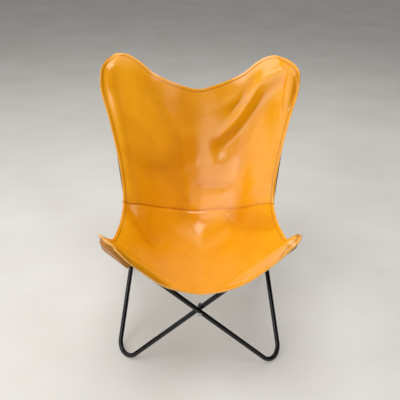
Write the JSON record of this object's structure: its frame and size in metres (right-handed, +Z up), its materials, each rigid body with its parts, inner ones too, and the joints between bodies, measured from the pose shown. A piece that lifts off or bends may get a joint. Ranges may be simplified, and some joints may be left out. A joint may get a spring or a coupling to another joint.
{
  "type": "butterfly sling chair",
  "caption": "Folding butterfly chair: crossed bent-tube loops that turn on pivot bolts carry a seamed leather sling hung by pockets on the frame's upturned tips.",
  "frame": {"origin": "on the floor, in the middle of the chair's outline seen from above", "axes": "+Z up; the sitter faces -Y; +X is on the right as seen from in front of the chair"},
  "size_m": [0.7312, 0.7932, 0.9048],
  "materials": {
    "frame_tube": "gloss black powder coat",
    "bare_steel": "drawn steel, unpainted, inside the tube",
    "zinc_fixings": "bright zinc plate",
    "sling_leather": "waxed amber-orange hide, semi-gloss",
    "pocket_leather": "flesh side of the hide, matt"
  },
  "bodies": {
    "outer_body": {"outer_frame_loop": "frame_tube", "outer_loop_spigot": "bare_steel", "front_pivot_bolt": "zinc_fixings", "front_pivot_head_washer": "zinc_fixings", "front_pivot_spacer": "zinc_fixings", "front_pivot_nut_washer": "zinc_fixings", "front_pivot_cap_nut": "zinc_fixings", "back_pivot_bolt": "zinc_fixings", "back_pivot_head_washer": "zinc_fixings", "back_pivot_spacer": "zinc_fixings", "back_pivot_nut_washer": "zinc_fixings", "back_pivot_cap_nut": "zinc_fixings", "sling_back_panel": "sling_leather", "sling_seat_panel": "sling_leather", "front_left_pocket": "pocket_leather", "back_left_pocket": "pocket_leather"},
    "inner_body": {"inner_frame_loop": "frame_tube", "inner_loop_spigot": "bare_steel", "front_right_pocket": "pocket_leather", "back_right_pocket": "pocket_leather"}
  },
  "joints": [
    {"name": "frame_fold", "type": "hinge", "parent": "outer_body", "child": "inner_body", "pos_m": [-0.00298, -0.33544, 0.2489], "axis": [0, -0.9771, -0.2129], "range_deg": [0, 50], "deforming": ["sling_back_panel", "sling_seat_panel"]}
  ]
}
